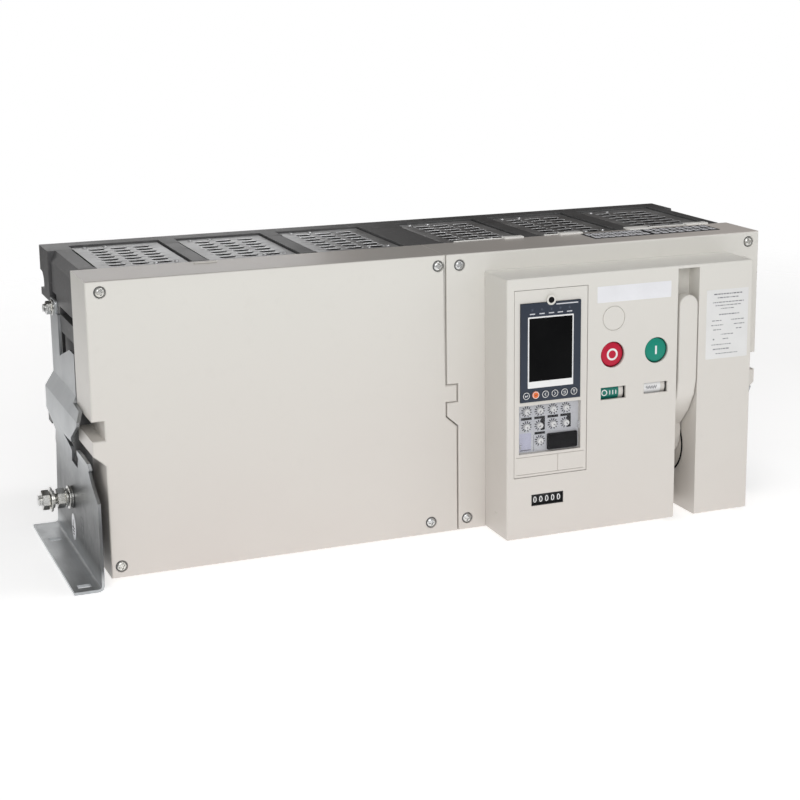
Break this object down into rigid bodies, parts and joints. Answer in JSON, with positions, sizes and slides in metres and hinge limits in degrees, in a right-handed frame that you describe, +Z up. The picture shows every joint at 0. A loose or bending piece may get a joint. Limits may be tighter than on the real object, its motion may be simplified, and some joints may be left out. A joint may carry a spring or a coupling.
{
  "type": "air circuit breaker",
  "caption": "Fixed-mounted low-voltage air circuit breaker with a wide moulded front cover, a raised control fascia, rear terminals and sheet steel side plates with feet.",
  "frame": {"origin": "centre of the footprint, on the plane that the feet stand on", "axes": "+X to the right seen from the front, -Y out of the front, +Z up"},
  "size_m": [0.814, 0.3534, 0.308],
  "materials": {
    "cover_plastic": "warm light grey moulded plastic, fine satin texture",
    "housing_dmc": "charcoal grey glass-filled moulding compound",
    "galvanised_sheet": "rolled and galvanised sheet steel",
    "zinc_steel": "bright zinc-plated steel",
    "tinned_copper": "tinned copper",
    "black_resin": "black moulded resin",
    "navy_bezel": "dark navy semi-gloss",
    "orange_key": "orange semi-gloss",
    "red_button": "crimson gloss",
    "green_button": "teal green gloss",
    "green_flag": "dark green printed flag",
    "white_print": "white plastic",
    "clear_plastic": "clear polycarbonate"
  },
  "bodies": {
    "housing": {"left_cover": "cover_plastic", "front_plate": "cover_plastic", "fascia": "cover_plastic", "front_base": "housing_dmc", "rear_base": "housing_dmc", "left_side_plate": "galvanised_sheet", "right_side_plate": "galvanised_sheet", "earth_stud": "zinc_steel", "arc_chute_1": "housing_dmc", "arc_chute_2": "housing_dmc", "arc_chute_3": "housing_dmc", "arc_chute_4": "housing_dmc", "arc_chute_5": "housing_dmc", "arc_chute_6": "housing_dmc", "upper_terminal_1": "tinned_copper", "lower_terminal_1": "tinned_copper", "current_transformer_1": "black_resin", "upper_terminal_2": "tinned_copper", "lower_terminal_2": "tinned_copper", "current_transformer_2": "black_resin", "upper_terminal_3": "tinned_copper", "lower_terminal_3": "tinned_copper", "current_transformer_3": "black_resin", "mechanism_frame": "galvanised_sheet", "charging_motor": "black_resin", "closing_coil": "black_resin", "trip_coil": "black_resin", "auxiliary_switch": "black_resin", "operation_counter": "black_resin", "trip_unit": "cover_plastic", "display": "navy_bezel"},
    "moving_contact_1": {"moving_contact_1": "tinned_copper"},
    "drive_link_1": {"drive_link_1": "zinc_steel"},
    "moving_contact_2": {"moving_contact_2": "tinned_copper"},
    "drive_link_2": {"drive_link_2": "zinc_steel"},
    "moving_contact_3": {"moving_contact_3": "tinned_copper"},
    "drive_link_3": {"drive_link_3": "zinc_steel"},
    "main_shaft": {"main_shaft": "zinc_steel"},
    "charging_shaft": {"charging_shaft": "zinc_steel"},
    "charge_handle": {"charge_handle": "cover_plastic"},
    "off_button": {"off_button": "red_button"},
    "on_button": {"on_button": "green_button"},
    "position_flag": {"position_flag": "green_flag"},
    "spring_flag": {"spring_flag": "white_print"},
    "key_1": {"key_1": "navy_bezel"},
    "key_2": {"key_2": "orange_key"},
    "key_3": {"key_3": "navy_bezel"},
    "key_4": {"key_4": "navy_bezel"},
    "key_5": {"key_5": "navy_bezel"},
    "key_6": {"key_6": "navy_bezel"},
    "dial_1": {"dial_1": "white_print"},
    "dial_2": {"dial_2": "white_print"},
    "dial_3": {"dial_3": "white_print"},
    "dial_4": {"dial_4": "white_print"},
    "dial_5": {"dial_5": "white_print"},
    "dial_6": {"dial_6": "white_print"},
    "dial_7": {"dial_7": "white_print"},
    "dial_8": {"dial_8": "white_print"},
    "dial_9": {"dial_9": "white_print"},
    "clear_cover": {"clear_cover": "clear_plastic"}
  },
  "joints": [
    {"name": "main_shaft_turn", "type": "hinge", "parent": "housing", "child": "main_shaft", "pos_m": [0, -0.06935, 0.128], "axis": [-1, 0, 0], "range_deg": [0, 54.2], "stiffness_Nm_per_rad": 1.5, "springref_deg": -17.19},
    {"name": "contact_turn_1", "type": "hinge", "parent": "housing", "child": "moving_contact_1", "pos_m": [-0.2375, 0.03065, 0.068], "axis": [-1, 0, 0], "range_deg": [0, 15.6]},
    {"name": "contact_turn_2", "type": "hinge", "parent": "housing", "child": "moving_contact_2", "pos_m": [0.00675, 0.03065, 0.068], "axis": [-1, 0, 0], "range_deg": [0, 15.6]},
    {"name": "contact_turn_3", "type": "hinge", "parent": "housing", "child": "moving_contact_3", "pos_m": [0.253, 0.03065, 0.068], "axis": [-1, 0, 0], "range_deg": [0, 15.6]},
    {"name": "link_turn_1", "type": "hinge", "parent": "main_shaft", "child": "drive_link_1", "pos_m": [-0.2375, -0.05457, 0.14691], "axis": [-1, 0, 0], "range_deg": [-76, 0]},
    {"name": "link_turn_2", "type": "hinge", "parent": "main_shaft", "child": "drive_link_2", "pos_m": [0.00675, -0.05457, 0.14691], "axis": [-1, 0, 0], "range_deg": [-76, 0]},
    {"name": "link_turn_3", "type": "hinge", "parent": "main_shaft", "child": "drive_link_3", "pos_m": [0.253, -0.05457, 0.14691], "axis": [-1, 0, 0], "range_deg": [-76, 0]},
    {"name": "position_flag_turn", "type": "hinge", "parent": "housing", "child": "position_flag", "pos_m": [0.1693, -0.16065, 0.1567], "axis": [1, 0, 0], "range_deg": [0, 90.5]},
    {"name": "charging_shaft_turn", "type": "hinge", "parent": "housing", "child": "charging_shaft", "pos_m": [0.205, -0.11135, 0.096], "axis": [1, 0, 0], "range_deg": [0, 180]},
    {"name": "spring_flag_turn", "type": "hinge", "parent": "housing", "child": "spring_flag", "pos_m": [0.22035, -0.16065, 0.15745], "axis": [1, 0, 0], "range_deg": [0, 90.5]},
    {"name": "charge_handle_pull", "type": "hinge", "parent": "housing", "child": "charge_handle", "pos_m": [0.25925, -0.11135, 0.096], "axis": [1, 0, 0], "range_deg": [0, 75], "stiffness_Nm_per_rad": 0.5, "springref_deg": -22.92},
    {"name": "off_button_press", "type": "slide", "parent": "housing", "child": "off_button", "axis": [0, 1, 0], "range_m": [0, 0.004], "stiffness_N_per_m": 600, "springref_m": -0.003},
    {"name": "on_button_press", "type": "slide", "parent": "housing", "child": "on_button", "axis": [0, 1, 0], "range_m": [0, 0.004], "stiffness_N_per_m": 600, "springref_m": -0.003},
    {"name": "key_press_1", "type": "slide", "parent": "housing", "child": "key_1", "axis": [0, 1, 0], "range_m": [0, 0.0005], "stiffness_N_per_m": 400, "springref_m": -0.0005},
    {"name": "key_press_2", "type": "slide", "parent": "housing", "child": "key_2", "axis": [0, 1, 0], "range_m": [0, 0.0005], "stiffness_N_per_m": 400, "springref_m": -0.0005},
    {"name": "key_press_3", "type": "slide", "parent": "housing", "child": "key_3", "axis": [0, 1, 0], "range_m": [0, 0.0005], "stiffness_N_per_m": 400, "springref_m": -0.0005},
    {"name": "key_press_4", "type": "slide", "parent": "housing", "child": "key_4", "axis": [0, 1, 0], "range_m": [0, 0.0005], "stiffness_N_per_m": 400, "springref_m": -0.0005},
    {"name": "key_press_5", "type": "slide", "parent": "housing", "child": "key_5", "axis": [0, 1, 0], "range_m": [0, 0.0005], "stiffness_N_per_m": 400, "springref_m": -0.0005},
    {"name": "key_press_6", "type": "slide", "parent": "housing", "child": "key_6", "axis": [0, 1, 0], "range_m": [0, 0.0005], "stiffness_N_per_m": 400, "springref_m": -0.0005},
    {"name": "dial_turn_1", "type": "hinge", "parent": "housing", "child": "dial_1", "pos_m": [0.07, -0.17015, 0.1456], "axis": [0, 1, 0], "range_deg": [0, 270]},
    {"name": "dial_turn_2", "type": "hinge", "parent": "housing", "child": "dial_2", "pos_m": [0.0852, -0.17015, 0.1456], "axis": [0, 1, 0], "range_deg": [0, 270]},
    {"name": "dial_turn_3", "type": "hinge", "parent": "housing", "child": "dial_3", "pos_m": [0.1005, -0.17015, 0.1456], "axis": [0, 1, 0], "range_deg": [0, 270]},
    {"name": "dial_turn_4", "type": "hinge", "parent": "housing", "child": "dial_4", "pos_m": [0.1155, -0.17015, 0.1456], "axis": [0, 1, 0], "range_deg": [0, 270]},
    {"name": "dial_turn_5", "type": "hinge", "parent": "housing", "child": "dial_5", "pos_m": [0.07, -0.17015, 0.1296], "axis": [0, 1, 0], "range_deg": [0, 270]},
    {"name": "dial_turn_6", "type": "hinge", "parent": "housing", "child": "dial_6", "pos_m": [0.0852, -0.17015, 0.1296], "axis": [0, 1, 0], "range_deg": [0, 270]},
    {"name": "dial_turn_7", "type": "hinge", "parent": "housing", "child": "dial_7", "pos_m": [0.1005, -0.17015, 0.1296], "axis": [0, 1, 0], "range_deg": [0, 270]},
    {"name": "dial_turn_8", "type": "hinge", "parent": "housing", "child": "dial_8", "pos_m": [0.1155, -0.17015, 0.1296], "axis": [0, 1, 0], "range_deg": [0, 270]},
    {"name": "dial_turn_9", "type": "hinge", "parent": "housing", "child": "dial_9", "pos_m": [0.0855, -0.17015, 0.113], "axis": [0, 1, 0], "range_deg": [0, 270]},
    {"name": "clear_cover_open", "type": "hinge", "parent": "housing", "child": "clear_cover", "pos_m": [0.0612, -0.17455, 0.1269], "axis": [0, 0, -1], "range_deg": [0, 110]}
  ],
  "couplings": [
    {"joint": "contact_turn_1", "follows": "main_shaft_turn", "ratio": 0.286},
    {"joint": "contact_turn_2", "follows": "main_shaft_turn", "ratio": 0.286},
    {"joint": "contact_turn_3", "follows": "main_shaft_turn", "ratio": 0.286},
    {"joint": "link_turn_1", "follows": "main_shaft_turn", "ratio": -1.3967},
    {"joint": "link_turn_2", "follows": "main_shaft_turn", "ratio": -1.3967},
    {"joint": "link_turn_3", "follows": "main_shaft_turn", "ratio": -1.3967},
    {"joint": "position_flag_turn", "follows": "main_shaft_turn", "ratio": 1.6605},
    {"joint": "spring_flag_turn", "follows": "charging_shaft_turn", "ratio": 0.5}
  ]
}
